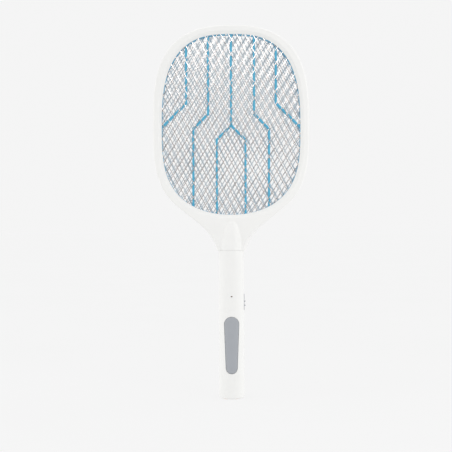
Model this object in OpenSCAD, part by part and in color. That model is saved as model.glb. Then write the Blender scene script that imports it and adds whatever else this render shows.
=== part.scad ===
// Electric fly swatter: an oval head with three wire meshes on a slim straight handle.
// Upright, +Z up along its length, origin at the middle of the handle's end face.
// The front, with the press key, faces -Y. The two head covers meet on the plane y = 0.

/* [Head] */
// Overall height, from the handle's end face to the top of the head
total_h = 516; // [505:1:525]
// Width of the head
head_w = 216; // [205:1:225]
// Depth of the head, front face to rear face
head_d = 20; // [18:0.5:22]
// Width of the opening that the meshes fill
opening_w = 191.6; // [184:0.2:194]
// Width of the sloping rim around the opening
bevel_w = 4.5; // [3:0.1:5]
// Wall thickness of the head covers
cover_wall = 1.8; // [1.5:0.1:2.4]

/* [Meshes] */
// Diamond width of the meshes
diamond_w = 11.45; // [10:0.05:14]
// Diamond height of the meshes
diamond_h = 20; // [16:0.5:24]
// Width of one mesh strand
strand_w = 1.1; // [0.6:0.1:1.2]
// Thickness of one mesh
mesh_t = 0.6; // [0.4:0.1:0.8]
// Clear gap between two meshes
mesh_gap = 4.7; // [4:0.1:5]
// Width of a blue rib
rib_w = 2.9; // [2:0.1:4]

/* [Handle] */
// Width of the handle
handle_w = 35.4; // [34:0.1:37]
// Depth of the handle
handle_d = 32; // [31:0.5:33]
// Wall thickness of the handle shells
handle_wall = 2.2; // [2:0.1:2.4]
// Height of the joint line between the handle and the head
joint_z = 204.3; // [203:0.1:206]

/* [Press key] */
// Height of the key's lower end
key_z0 = 35.2; // [34:0.1:36]
// Height of the key's upper end
key_z1 = 113.2; // [112:0.1:115]
// Key width near its upper end
key_w_top = 20.1; // [19:0.1:21]
// Key width near its lower end
key_w_low = 15.6; // [14:0.1:17]
// Gap around the key
key_gap = 0.35; // [0.3:0.05:0.5]

/* [Hidden] */

$fn = 48;
eps = 0.01;

// Colours
white = [0.93, 0.94, 0.92];
blue = [0.32, 0.70, 0.85];
wire_grey = [0.72, 0.70, 0.68];
key_grey = [0.64, 0.66, 0.69];
steel = [0.75, 0.75, 0.76];
copper = [0.80, 0.50, 0.28];
dark = [0.12, 0.12, 0.13];

// Head outline: one oval for the opening, one for the outside, each with its own upper and lower half
outer_up = [138.7, 2.5, 3.1];
outer_low = [125.6, 3.175, 3.063];
opening_up = [126.3, 2.79, 2.66];
opening_low = [123.3, 2.15, 3.28];
centre_z = total_h - outer_up[0];
low_end = -40.7;
neck = [[84.6, 274.2], [54, 242.7], [handle_w / 2, 235.1], [handle_w / 2, 182.4]];

// Point on a superellipse of half width a, and half height, width power and height power in h
function oval(a, h, t) = [a * sign(cos(t)) * pow(abs(cos(t)), 2 / h[1]),
    h[0] * sign(sin(t)) * pow(abs(sin(t)), 2 / h[2])];
function oval_slope(a, h, p) = [h[1] * sign(p[0]) * pow(abs(p[0] / a), h[1] - 1) / a,
    h[2] * sign(p[1]) * pow(abs(p[1] / h[0]), h[2] - 1) / h[0]];
function unit(v) = v / norm(v);
function pushed_oval(a, h, t, out) = let (p = oval(a, h, t))
    p + out * unit(oval_slope(a, h, p)) + [0, centre_z];

// Closed outline of the opening, moved outwards by out
function opening_loop(out, step = 5) = [for (t = [0:step:360 - step])
    pushed_oval(opening_w / 2, t < 180 ? opening_up : opening_low, t, out)];

// Neck curve, moved inwards
function bezier(p, s) = pow(1 - s, 3) * p[0] + 3 * s * pow(1 - s, 2) * p[1]
    + 3 * s * s * (1 - s) * p[2] + pow(s, 3) * p[3];
function bezier_way(p, s) = pow(1 - s, 2) * (p[1] - p[0]) + 2 * s * (1 - s) * (p[2] - p[1])
    + s * s * (p[3] - p[2]);
function neck_point(s, inset) = let (d = unit(bezier_way(neck, s)))
    bezier(neck, s) + inset * [d[1], -d[0]];
function flipped(points) = [for (i = [len(points) - 1:-1:0]) [-points[i][0], points[i][1]]];

// Outline of the head and neck, moved inwards by inset, from the top down the right and up the left
function right_half(inset) = concat(
    [for (t = [90:-5:0]) pushed_oval(head_w / 2, outer_up, t, -inset)],
    [for (t = [-5:-5:low_end]) pushed_oval(head_w / 2, outer_low, t, -inset)],
    [for (s = [0.02:0.07:1]) neck_point(s, inset)]);
function outer_loop(inset) = let (half = right_half(inset))
    concat(half, [for (p = flipped(half)) if (abs(p[0]) > eps) p]);

// Depths of the mesh stack, measured from the middle plane
mesh_mid = mesh_t / 2;
guard_in = mesh_mid + mesh_gap;
guard_out = guard_in + mesh_t;
lip_t = 0.6;
half_d = head_d / 2;
sheet_out = 3.4;

// Handle section: two circles joined by a short flat stretch
handle_r = handle_d / 2;
flat = (handle_w - handle_d) / 2;
inner_r = handle_r - handle_wall;
shell_base = 0.4;
// Radius of the end pad's round sides
pad_r = 12.9;
tab_x = 15.5;
tab_z = 195.7;
seam = 0.05;
tenon_r = inner_r - 0.2;
tenon_low = 178;
lead_way_r = tenon_r - 1.8;

screw_r = 1;
screw_hole_r = 1.15;
screw_head_r = 1.9;
screw_head_h = 1.4;
boss_r = 2.3;
head_screw_inset = 4.6;
neck_screws = [[22, 243], [-22, 243]];
head_screw_spots = concat(
    [for (t = [25, 60, 90, 120, 155]) pushed_oval(head_w / 2, outer_up, t, -head_screw_inset)],
    [for (t = [-12, -34, 192, 214]) pushed_oval(head_w / 2, outer_low, t, -head_screw_inset)],
    neck_screws);
handle_screw_z = [12, 120, 186];

board_front = -4;
board_rear = -2.4;
board_z = [90, 176];
board_half_w = 11;
board_screw_spots = [[8.5, 98], [-8.5, 143]];

battery_r = 9.2;
battery_y = 3.2;
battery_z = [18, 83];

pin_r = 1;
pin_z = 39;
pin_y = -10.4;
actuator_z = 94.5;
actuator_tip = -8.6;
plunger_tip = -8.5;
lens_z = 141.2;

knob_z = [121.8, 144];
knob_travel = 4;
stem_z = [128.8, 132.8];

contact_x = 8;

// Extrudes an outline drawn in x and z from depth y0 to depth y1
module slab(y0, y1) {
    translate([0, y1, 0])
        rotate([90, 0, 0])
            linear_extrude(y1 - y0)
                children();
}

module box(low, high) {
    translate(low)
        cube(high - low);
}

// Cylinder along Y
module post(x, z, r, y0, y1) {
    translate([x, y1, z])
        rotate([90, 0, 0])
            cylinder(h = y1 - y0, r = r);
}

// Cylinder along X
module cross_rod(y, z, r, x0, x1) {
    translate([x0, y, z])
        rotate([0, 90, 0])
            cylinder(h = x1 - x0, r = r);
}

// Ring of eight points round p, square to the way w
function ring_at(p, w, r) = let (
    side = unit(cross(w, abs(w[0]) < 0.9 ? [1, 0, 0] : [0, 1, 0])),
    up = cross(side, w))
    [for (t = [0:45:315]) p + r * (cos(t) * side + sin(t) * up)];

// Direction of a route at its point i, halfway between the two stretches that meet there
function way_at(route, i) = unit(
    (i > 0 ? unit(route[i] - route[i - 1]) : [0, 0, 0])
    + (i < len(route) - 1 ? unit(route[i + 1] - route[i]) : [0, 0, 0]));

// Wire of radius r along a route, as one swept tube of eight sides
module wire(route, r) {
    last = len(route) - 1;
    points = [for (i = [0:last], p = ring_at(route[i], way_at(route, i), r)) p];
    sides = [for (i = [0:last - 1], k = [0:7])
        [8 * i + k, 8 * i + (k + 1) % 8, 8 * i + 8 + (k + 1) % 8, 8 * i + 8 + k]];
    polyhedron(points, concat([[for (k = [7:-1:0]) k]], sides, [[for (k = [0:7]) 8 * last + k]]), 4);
}

// Solid of the handle's section, turned from a half profile of radius and height
module turned(profile) {
    for (side = [-1, 1])
        translate([side * flat, 0, 0])
            rotate_extrude()
                polygon(profile);
    rotate([90, 0, 90])
        linear_extrude(2 * flat, center = true)
            polygon(concat(profile, flipped(profile)));
}

module tube_section(r, z0, z1) {
    turned([[0, z0], [r, z0], [r, z1], [0, z1]]);
}

// Half space in front of (side = -1) or behind (side = 1) the middle plane
module half(side) {
    intersection() {
        children();
        box([-150, side < 0 ? -40 : seam, -10], [150, side < 0 ? -seam : 40, 530]);
    }
}

// Profile of the tongue that runs from the handle's section out into the neck
tongue_top = 246.5;
tongue_base = 200;
tongue_power = 2.4;
tongue_h = tongue_top - tongue_base + 9;
function tongue_r(z, thin) = handle_r * pow(1 - pow((z - tongue_base) / tongue_h, tongue_power), 1 / 1.9)
    + 0.2 - thin;
function tongue_profile(thin, z0) = concat([[0, z0]],
    [for (i = [0:14]) let (z = z0 + (tongue_top - thin - z0) * i / 14) [tongue_r(z, thin), z]],
    [[0, tongue_top - thin]]);

// One cover of the head, drawn as the front one
module head_cover_body() {
    rim_steps = [[0, 0], [1.4, 0.35], [0.6, 1.2]];
    bevel_steps = 4;
    bevel_drop = half_d - guard_out - lip_t;
    difference() {
        union() {
            // Outer wall and the rounded outer edge
            slab(-half_d + rim_steps[1][0], -seam)
                difference() {
                    polygon(outer_loop(0));
                    polygon(outer_loop(cover_wall));
                }
            slab(-half_d + rim_steps[2][0], -half_d + cover_wall)
                difference() {
                    polygon(outer_loop(rim_steps[1][1]));
                    polygon(opening_loop(bevel_w));
                }
            slab(-half_d, -half_d + cover_wall)
                difference() {
                    polygon(outer_loop(rim_steps[2][1]));
                    polygon(opening_loop(bevel_w));
                }
            // Sloping rim down to the lip that holds the mesh
            for (i = [1:bevel_steps])
                slab(-half_d + bevel_drop * (i - 0.5) / bevel_steps,
                    i == bevel_steps ? -guard_out : -half_d + bevel_drop * i / bevel_steps + 1.4)
                    difference() {
                        polygon(opening_loop(bevel_w * (1 - i / bevel_steps) + 2.6));
                        polygon(opening_loop(bevel_w * (1 - i / bevel_steps)));
                    }
            // Tongue and the sleeve that the handle closes on
            intersection() {
                turned(tongue_profile(0, joint_z));
                box([-20, -20, joint_z], [20, -half_d + cover_wall, tongue_top]);
            }
            intersection() {
                difference() {
                    union() {
                        tube_section(handle_r, joint_z, joint_z + 4);
                        tube_section(tenon_r, tenon_low, joint_z + 4);
                    }
                    tube_section(lead_way_r, tenon_low - 1, joint_z + 5);
                }
                box([-20, -20, tenon_low], [20, -seam, joint_z + 4]);
            }
            // Side tabs that reach down into the handle
            for (side = [-1, 1])
                intersection() {
                    difference() {
                        tube_section(handle_r, tab_z, joint_z + 1);
                        tube_section(tenon_r - 0.5, tab_z - 1, joint_z + 2);
                    }
                    box([side < 0 ? -20 : tab_x, -20, tab_z], [side < 0 ? -tab_x : 20, -seam, joint_z + 1]);
                }
            // Boss of the handle's upper screw
            post(0, handle_screw_z[2], boss_r, -tenon_r + 0.4, -seam);
        }
        // Everything of the neck's walls below the joint line
        box([-30, -20, 170], [-handle_w / 2 - eps, 20, joint_z]);
        box([handle_w / 2 + eps, -20, 170], [30, 20, joint_z]);
        for (side = [-1, 1])
            difference() {
                box([side < 0 ? -30 : 0, -20, 170], [side < 0 ? 0 : 30, 20, joint_z]);
                tube_section(tenon_r, 169, joint_z + 1);
                box([side < 0 ? -30 : tab_x, -20, tab_z], [side < 0 ? -tab_x : 30, 20, joint_z + 1]);
            }
        // Way for the leads under the tongue
        turned(concat([[0, joint_z + 3], [lead_way_r, joint_z + 3]],
            tongue_profile(cover_wall, joint_z + 5)));
    }
}

module head_front_cover() {
    color(white)
        difference() {
            union() {
                head_cover_body();
                for (p = head_screw_spots)
                    post(p[0], p[1], boss_r, -half_d + 1, -seam);
            }
            for (p = head_screw_spots)
                post(p[0], p[1], screw_r, -half_d + 2.5, 1);
            post(0, handle_screw_z[2], screw_hole_r, -20, 1);
        }
}

module head_rear_cover() {
    color(white)
        difference() {
            union() {
                mirror([0, 1, 0])
                    head_cover_body();
                for (p = head_screw_spots)
                    post(p[0], p[1], boss_r, seam, half_d - 1);
            }
            for (p = head_screw_spots) {
                post(p[0], p[1], screw_hole_r, -1, half_d + 1);
                post(p[0], p[1], screw_head_r + 0.2, half_d - screw_head_h - 1, half_d + 1);
            }
            post(0, handle_screw_z[2], screw_hole_r, -1, 20);
        }
}

// Screws of the head, driven from behind
module head_screws() {
    color(steel)
        for (p = head_screw_spots) {
            post(p[0], p[1], screw_r - 0.02, -6, half_d - screw_head_h - 0.5);
            post(p[0], p[1], screw_head_r, half_d - screw_head_h - 1, half_d - 1);
        }
}

// Flat mesh of diamonds, turned by an angle, with one crossing of its strands moved off the centre
module diamond_mesh(y0, turn, offset) {
    half_w = diamond_w / 2;
    half_h = diamond_h / 2;
    strand_turn = atan2(half_h, half_w);
    hole_w = half_w - strand_w / 2 / sin(strand_turn);
    hole_h = half_h - strand_w / 2 / cos(strand_turn);
    slab(y0, y0 + mesh_t)
        difference() {
            polygon(opening_loop(sheet_out));
            intersection() {
                polygon(opening_loop(sheet_out - 1.6));
                translate([offset[0], centre_z + offset[1]])
                    rotate(turn)
                        for (row = [-14:14], col = [-10:10])
                            translate([(col + (1 + row % 2) / 2) * diamond_w, row * half_h])
                                polygon([[hole_w, 0], [0, hole_h], [-hole_w, 0], [0, -hole_h]]);
            }
        }
}

module front_guard_mesh() {
    color(wire_grey)
        diamond_mesh(-guard_out, -1.9, [-3.4, -1.1]);
}

module live_mesh() {
    color(wire_grey)
        diamond_mesh(-mesh_mid, -3.8, [1, 3.8]);
}

module rear_guard_mesh() {
    color(wire_grey)
        diamond_mesh(guard_in, -2.1, [1.9, -1.7]);
}

// Ribs on the right of the middle: each runs down from the top, bends, and runs on down or to the side
outer_rib = [[62.2, 540], [62.2, 408.6], [100, 370.8]];
inner_rib = [[31.9, 540], [31.9, 393.5], [52.5, 372.9], [52.5, 220]];
middle_rib = [[0, 540], [0, 377.7], [19.9, 357.8], [19.9, 220]];

module rib(points) {
    for (i = [0:len(points) - 2]) {
        way = points[i + 1] - points[i];
        translate(points[i])
            rotate(atan2(way[1], way[0]))
                translate([0, -rib_w / 2])
                    square([norm(way), rib_w]);
    }
    for (i = [1:len(points) - 2])
        translate(points[i])
            circle(r = rib_w / 2, $fn = 24);
}

// Blue oval ring with the ribs that keep two meshes apart
module spacer(y0, y1) {
    slab(y0, y1)
        union() {
            difference() {
                polygon(opening_loop(sheet_out));
                polygon(opening_loop(0.3));
            }
            intersection() {
                polygon(opening_loop(1.5));
                union() {
                    for (side = [0, 1])
                        mirror([side, 0]) {
                            rib(outer_rib);
                            rib(inner_rib);
                            rib(middle_rib);
                        }
                }
            }
        }
}

module front_spacer() {
    color(blue)
        spacer(-guard_in, -mesh_mid);
}

module rear_spacer() {
    color(blue)
        spacer(mesh_mid, guard_in);
}

tab_low = 241;
mesh_low = opening_loop(sheet_out, 90)[3][1];

// Tab under the lower edge of the live mesh
module live_terminal() {
    color(copper)
        box([-3, -mesh_mid, tab_low], [3, mesh_mid, mesh_low]);
}

// Tabs under the lower edges of the two guard meshes
module guard_terminals() {
    color(copper)
        for (y = [-guard_out, guard_in])
            box([4, y, tab_low], [9, y + mesh_t, mesh_low]);
}

// Round numbers chosen by hand: the ways of the leads inside the handle and the neck
live_way = [[-4, -1.5, 174], [-4.5, 0, 181], [-4.5, 0, 205], [0, 0, 232], [0, 0, 241]];
front_guard_way = [[3, -1.5, 174], [5, -2, 181], [5, -3, 205], [6.5, -4.5, 232], [6.5, -5.3, 241]];
rear_guard_way = [[7, -1.5, 174], [8, 3, 181], [8, 4, 205], [6.5, 4.5, 232], [6.5, 5.3, 241]];

module live_lead() {
    color("crimson")
        wire(live_way, 0.9);
}

module guard_leads() {
    color("white") {
        wire(front_guard_way, 0.7);
        wire(rear_guard_way, 0.7);
    }
}

// Outline of the key: two circles of different size and their tangents, grown by extra
function key_outline(extra) = let (
    r1 = key_w_top / 2,
    r0 = key_w_low / 2,
    c1 = key_z1 - r1,
    c0 = key_z0 + r0,
    lean = asin((r1 - r0) / (c1 - c0)))
    concat([for (i = [0:16]) let (t = -lean + i * (180 + 2 * lean) / 16)
            [(r1 + extra) * cos(t), c1 + (r1 + extra) * sin(t)]],
        [for (i = [0:16]) let (t = 180 + lean + i * (180 - 2 * lean) / 16)
            [(r0 + extra) * cos(t), c0 + (r0 + extra) * sin(t)]]);

// Outside of the handle, with its rounded lower edge
module handle_outside() {
    round_r = 2.6;
    turned(concat([[0, shell_base]],
        [for (t = [-90:15:0]) [handle_r - round_r + round_r * cos(t), shell_base + round_r + round_r * sin(t)]],
        [[handle_r, joint_z - 0.1], [0, joint_z - 0.1]]));
}

// Handle tube with its cavity, the seats of the side tabs and the end cap's groove
module handle_tube() {
    difference() {
        handle_outside();
        tube_section(inner_r, shell_base + 1.6, joint_z + 1);
        tube_section(pad_r + 0.2, 0, 10);
        tube_section(inner_r + 0.9, 4.1, 5.7);
        for (side = [-1, 1])
            box([side < 0 ? -20 : tab_x - 0.1, -20, tab_z - 0.1], [side < 0 ? 0.1 - tab_x : 20, 20, 210]);
        power_slide_pocket();
    }
}

// Shallow pocket for the slide knob and the slot for its stem
module power_slide_pocket() {
    box([16.4, -4, knob_z[0] - 0.3], [20, 4, knob_z[1] + knob_travel + 0.3]);
    box([14, -1.7, stem_z[0] - 0.3], [20, 1.7, stem_z[1] + knob_travel + 0.3]);
}

module handle_front_shell() {
    color(white)
        difference() {
            union() {
                half(-1)
                    handle_tube();
                for (i = [0, 1])
                    post(0, handle_screw_z[i], boss_r + 0.3, -inner_r - 1, i == 0 ? -seam : board_front);
                intersection() {
                    tube_section(inner_r + 1, pin_z - 3, pin_z + 3);
                    for (side = [-1, 1])
                        box([side < 0 ? -14 : 10, -13, pin_z - 2.5], [side < 0 ? -10 : 14, -8.2, pin_z + 2.5]);
                }
            }
            slab(-20, pin_y + 1)
                polygon(key_outline(key_gap));
            cross_rod(pin_y, pin_z, pin_r, -13.2, 13.2);
            for (i = [0, 1])
                post(0, handle_screw_z[i], screw_r, -inner_r + 0.6, 1);
            post(0, handle_screw_z[2], screw_r, -inner_r - 1, 1);
            lens_hole(0.1);
        }
}

module lens_hole(gap) {
    for (side = [-1, 1])
        post(side * 0.5, lens_z, 0.65 + gap, -20, -inner_r + 2);
    box([-0.5, -20, lens_z - 0.65 - gap], [0.5, -inner_r + 2, lens_z + 0.65 + gap]);
}

module handle_rear_shell() {
    battery_stops = [battery_z[0] - 2.5, battery_z[1] + 1];
    color(white)
        difference() {
            union() {
                half(1)
                    handle_tube();
                post(0, handle_screw_z[0], boss_r + 0.3, seam, inner_r + 1);
                post(0, handle_screw_z[1], boss_r + 0.3, board_rear, inner_r + 1);
                for (p = board_screw_spots)
                    post(p[0], p[1], boss_r - 0.3, board_rear, 12);
                for (z = battery_stops)
                    intersection() {
                        tube_section(inner_r + 1, z, z + 1.5);
                        box([-12, 7, z], [12, 20, z + 1.5]);
                    }
            }
            for (z = handle_screw_z) {
                post(0, z, screw_hole_r, -5, 20);
                post(0, z, screw_head_r + 0.2, handle_r - screw_head_h - 1, 20);
            }
            for (p = board_screw_spots)
                post(p[0], p[1], screw_r - 0.2, -5, 6);
        }
}

// Screws of the handle, driven from behind; the top one also pins the head's sleeve
module handle_screws() {
    color(steel)
        for (z = handle_screw_z) {
            post(0, z, screw_r - 0.02, -inner_r + 1, handle_r - screw_head_h - 0.5);
            post(0, z, screw_head_r, handle_r - screw_head_h - 1, handle_r - 1);
        }
}

// End plate: a pad that stands out of the shells, held by a flange in their groove
module end_cap() {
    color("wheat")
        difference() {
            union() {
                tube_section(pad_r, 0, 5);
                tube_section(inner_r + 0.6, 4.3, 5.5);
            }
            for (side = [-1, 1]) {
                box([side * contact_x - 2.6, -20, -1], [side * contact_x + 2.6, 20, 1.1]);
                post_up(side * contact_x, 0, 1.1, -1, 7);
            }
            post(0, handle_screw_z[0], boss_r + 0.5, -20, 20);
        }
}

// Cylinder along Z
module post_up(x, y, r, z0, z1) {
    translate([x, y, z0])
        cylinder(h = z1 - z0, r = r);
}

// Two metal strips in the end face that meet the charging dock
module charge_contacts() {
    color(copper)
        for (side = [-1, 1])
            intersection() {
                tube_section(pad_r, 0, 8);
                union() {
                    box([side * contact_x - 2.5, -20, 0], [side * contact_x + 2.5, 20, 1]);
                    post_up(side * contact_x, 0, 1, 0, 8);
                }
            }
}

module charge_leads() {
    for (side = [-1, 1])
        color(side < 0 ? "black" : "red")
            wire([[side * contact_x, 0, 8], [side * contact_x, 0, 10], [side * 12, -3, 16], [side * 12, -3, 80],
                [side * 10, -1.6, 88], [side * 9.5, -1.6, 93]], 0.7);
}

module battery_cell() {
    color("lightskyblue")
        translate([0, battery_y, 0]) {
            post_up(0, 0, battery_r, battery_z[0], battery_z[1] - 0.6);
            post_up(0, 0, 3, battery_z[1] - 1, battery_z[1]);
        }
}

module battery_tabs() {
    color("silver") {
        box([-2.5, battery_y - 2.5, battery_z[1]], [2.5, battery_y + 2.5, battery_z[1] + 0.3]);
        box([-2.5, battery_y - 2.5, battery_z[0] - 0.3], [2.5, battery_y + 2.5, battery_z[0]]);
    }
}

module battery_leads() {
    color("red")
        wire([[0, battery_y - 1, battery_z[1] + 1], [-3, -0.5, 88], [-4, -1.6, 93]], 0.7);
    color("black")
        wire([[0, battery_y - 1, battery_z[0] - 1], [-8, -3, 16.5], [-10, -5.5, 24], [-10, -5.5, 76],
            [-8, -1.6, 87], [-7, -1.6, 93]], 0.7);
}

// Foam strip between the cell and the rear shell
module battery_pad() {
    color("dimgray")
        box([-4, battery_y + battery_r, 26], [4, battery_y + battery_r + 1, 76]);
}

module main_board() {
    color("darkgreen")
        difference() {
            box([-board_half_w, board_front, board_z[0]], [board_half_w, board_rear, board_z[1]]);
            post(0, handle_screw_z[1], screw_hole_r, -5, 0);
            for (p = board_screw_spots)
                post(p[0], p[1], screw_r, -5, 0);
        }
}

module board_screws() {
    color(steel)
        for (p = board_screw_spots) {
            post(p[0], p[1], screw_r - 0.22, board_front - 0.5, 4);
            post(p[0], p[1], screw_head_r - 0.2, board_front - 1.2, board_front);
        }
}

core_low = [-7, board_rear, 148];
core_high = [7, 9.4, 160];

module transformer_core() {
    color(dark)
        difference() {
            box(core_low, core_high);
            box([-8, core_low[1] + 3, core_low[2] + 2.5], [8, core_high[1] - 3, core_high[2] - 2.5]);
        }
}

module transformer_winding() {
    color("goldenrod")
        box([-9, core_low[1] + 3.1, core_low[2] + 2.6], [9, core_high[1] - 3.1, core_high[2] - 2.6]);
}

module storage_capacitors() {
    color("firebrick")
        for (side = [-1, 1])
            box([side < 0 ? -10 : 1, board_rear, 162.5], [side < 0 ? -1 : 10, 4.5, 172]);
}

module rectifier_diodes() {
    color(dark)
        for (z = [103, 107, 111, 115])
            cross_rod(board_rear + 1.2, z, 1.2, -9, -4.5);
}

module resistors() {
    color("tan")
        for (z = [147, 151, 155, 159])
            cross_rod(board_front - 0.9, z, 0.9, -7, -3);
}

module control_chip() {
    color(dark)
        box([-2.5, board_front - 1.5, 103], [2.5, board_front, 109]);
}

module drive_transistor() {
    color(dark)
        difference() {
            post(-6, 131, 2.3, board_rear, 2.4);
            box([-9, board_rear - 1, 128], [-7.2, 3, 134]);
        }
}

module indicator_lamp() {
    color("saddlebrown") {
        post(0, lens_z, 1.5, -12.4, board_front);
        post(0, lens_z, 1.9, -7, -6);
    }
}

module indicator_lens() {
    color("saddlebrown")
        intersection() {
            lens_hole(0);
            tube_section(handle_r - 0.1, lens_z - 2, lens_z + 2);
            box([-3, -20, lens_z - 2], [3, -12.5, lens_z + 2]);
        }
}

plunger_r = 1.7;

module key_switch_body() {
    color(dark)
        difference() {
            box([-3, -7.5, actuator_z - 3], [3, board_front, actuator_z + 3]);
            post(0, actuator_z, plunger_r + 0.06, -8, -4.8);
        }
}

module key_switch_plunger() {
    color("gold")
        post(0, actuator_z, plunger_r, plunger_tip, -6);
}

// Curved key plate with two hinge ears and the stem that meets the switch
module press_key() {
    color(key_grey)
        difference() {
            union() {
                intersection() {
                    slab(-20, -9)
                        polygon(key_outline(0));
                    difference() {
                        tube_section(handle_r + 0.5, key_z0 - 1, key_z1 + 1);
                        tube_section(handle_r - 2, key_z0 - 2, key_z1 + 2);
                    }
                }
                for (side = [-1, 1])
                    intersection() {
                        tube_section(handle_r - 1, pin_z - 3, pin_z + 3);
                        union() {
                            cross_rod(pin_y, pin_z, 2.2, side * 5 - 1, side * 5 + 1);
                            intersection() {
                                box([side * 5 - 1, -16, pin_z - 2.2], [side * 5 + 1, pin_y, pin_z + 2.2]);
                                slab(-20, pin_y)
                                    polygon(key_outline(0));
                            }
                        }
                    }
                post(0, actuator_z, 1.6, -handle_r + 1, actuator_tip);
            }
            cross_rod(pin_y, pin_z, pin_r + 0.06, -8, 8);
        }
}

module key_hinge_pin() {
    color(steel)
        cross_rod(pin_y, pin_z, pin_r, -13, 13);
}

module power_switch_body() {
    color("silver")
        difference() {
            box([4.5, board_rear, 125], [12, 2.4, 141]);
            box([10, -1.2, 129.5], [13, 1.2, 137]);
        }
}

module power_switch_lever() {
    color(dark)
        box([10.3, -1, 129.8], [14.3, 1, 131.8]);
}

// Slide knob: a plate in the pocket, its stem through the wall, and two finger ridges
module power_slide_knob() {
    ridge_z = [128.1, 133.8];
    color(key_grey) {
        box([16.5, -3.7, knob_z[0]], [17.9, 3.7, knob_z[1]]);
        box([14.3, -1.4, stem_z[0]], [16.6, 1.4, stem_z[1]]);
        for (z = ridge_z)
            box([17.8, -3.2, z - 0.7], [19.4, 3.2, z + 0.7]);
    }
}

head_front_cover();
head_rear_cover();
front_guard_mesh();
live_mesh();
rear_guard_mesh();
front_spacer();
rear_spacer();
live_terminal();
guard_terminals();
live_lead();
guard_leads();
head_screws();
handle_front_shell();
handle_rear_shell();
handle_screws();
end_cap();
charge_contacts();
charge_leads();
battery_cell();
battery_tabs();
battery_leads();
battery_pad();
main_board();
board_screws();
transformer_core();
transformer_winding();
storage_capacitors();
rectifier_diodes();
resistors();
control_chip();
drive_transistor();
indicator_lamp();
indicator_lens();
key_switch_body();
key_switch_plunger();
press_key();
key_hinge_pin();
power_switch_body();
power_switch_lever();
power_slide_knob();
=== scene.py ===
"""Electric fly swatter: the visible surfaces, materials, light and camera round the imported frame.

Lengths inside the shape functions are in millimetres, and mesh_piece() turns them into metres.
The front faces -Y, and a rear piece is its front twin mirrored in the plane y = 0.
"""

from math import atan2, cos, pi, radians, sin

import bmesh
import bpy
import numpy as np
from mathutils import Matrix, Quaternion, Vector


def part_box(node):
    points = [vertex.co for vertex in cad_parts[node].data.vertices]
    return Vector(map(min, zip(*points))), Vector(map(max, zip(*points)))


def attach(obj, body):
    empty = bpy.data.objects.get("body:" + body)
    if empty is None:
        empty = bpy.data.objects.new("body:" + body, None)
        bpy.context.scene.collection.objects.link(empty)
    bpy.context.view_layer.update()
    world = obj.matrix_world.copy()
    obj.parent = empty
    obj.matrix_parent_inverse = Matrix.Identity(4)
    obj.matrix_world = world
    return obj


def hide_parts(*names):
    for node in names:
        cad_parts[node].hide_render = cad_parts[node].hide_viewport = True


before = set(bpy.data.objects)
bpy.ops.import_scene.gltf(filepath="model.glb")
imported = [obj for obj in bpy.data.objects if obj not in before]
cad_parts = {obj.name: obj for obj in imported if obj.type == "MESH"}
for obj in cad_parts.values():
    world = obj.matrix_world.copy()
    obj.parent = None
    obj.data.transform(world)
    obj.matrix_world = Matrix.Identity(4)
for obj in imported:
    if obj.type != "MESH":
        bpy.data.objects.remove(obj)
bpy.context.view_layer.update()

MM = 0.001
# Half the gap between a front piece and its rear twin
SEAM = 0.02


def box_mm(node):
    """Low and high corners of a node's box, in millimetres."""
    low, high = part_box(node)
    return np.array(low) / MM, np.array(high) / MM


# ---------------------------------------------------------------- sizes, taken from the frame

_, head_high = box_mm("head_front_cover")
sheet_low, sheet_high = box_mm("front_guard_mesh")
shell_low, shell_high = box_mm("handle_front_shell")
key_low, key_high = box_mm("press_key")
knob_low, knob_high = box_mm("power_slide_knob")
spacer_low, spacer_high = box_mm("front_spacer")

# Upper and lower halves of the two ovals: height, width power, height power
OPENING_UP = (126.3, 2.79, 2.66)
OPENING_LOW = (123.3, 2.15, 3.28)
OUTER_UP = (138.7, 2.5, 3.1)
OUTER_LOW = (125.6, 3.175, 3.063)

HEAD_HALF_W = head_high[0]
HALF_D = 10.0
# Height where both ovals are widest
CENTRE_Z = head_high[2] - OUTER_UP[0]
# How far the mesh sheets reach past the opening's edge
SHEET_OUT = 3.4
OPENING_HALF_W = sheet_high[0] - SHEET_OUT
HANDLE_HALF_W = shell_high[0]
HANDLE_R = -shell_low[1]
# Half the flat middle of the handle's section, between its round sides
FLAT = HANDLE_HALF_W - HANDLE_R
JOINT_GAP = 0.1
JOINT_Z = shell_high[2] + JOINT_GAP
# Where the cover's side tabs start, across and up
TAB_X = 15.5
TAB_Z = 195.7

# Curve of the neck from the head's lower oval to the handle, past the joint line
NECK = np.array([[84.6, 274.2], [54, 242.7], [HANDLE_HALF_W, 235.1], [HANDLE_HALF_W, 182.4]])
NECK_START = -40.7


# ---------------------------------------------------------------- outlines in x and z

def oval(half_w, half, t):
    """Points and outward normals of half a superellipse at angles t."""
    height, wide, tall = half
    c, s = np.cos(t), np.sin(t)
    x = half_w * np.sign(c) * np.abs(c) ** (2 / wide)
    z = height * np.sign(s) * np.abs(s) ** (2 / tall)
    nx = wide * np.sign(c) * np.abs(x / half_w) ** (wide - 1) / half_w
    nz = tall * np.sign(s) * np.abs(z / height) ** (tall - 1) / height
    normal = np.stack([nx, nz], 1)
    normal /= np.linalg.norm(normal, axis=1)[:, None]
    return np.stack([x, z + CENTRE_Z], 1), normal


def fine_angles(start, end, count=1500):
    """Closely spaced angles between two given in degrees."""
    return np.linspace(radians(start), radians(end), count)


def evenly(points, normals, count):
    """The curve again, as count points evenly spaced along it."""
    step = np.linalg.norm(np.diff(points, axis=0), axis=1)
    along = np.concatenate([[0], np.cumsum(step)])
    want = np.linspace(0, along[-1], count)
    new = np.stack([np.interp(want, along, points[:, k]) for k in range(2)], 1)
    turned = np.stack([np.interp(want, along, normals[:, k]) for k in range(2)], 1)
    return new, turned / np.linalg.norm(turned, axis=1)[:, None]


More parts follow.
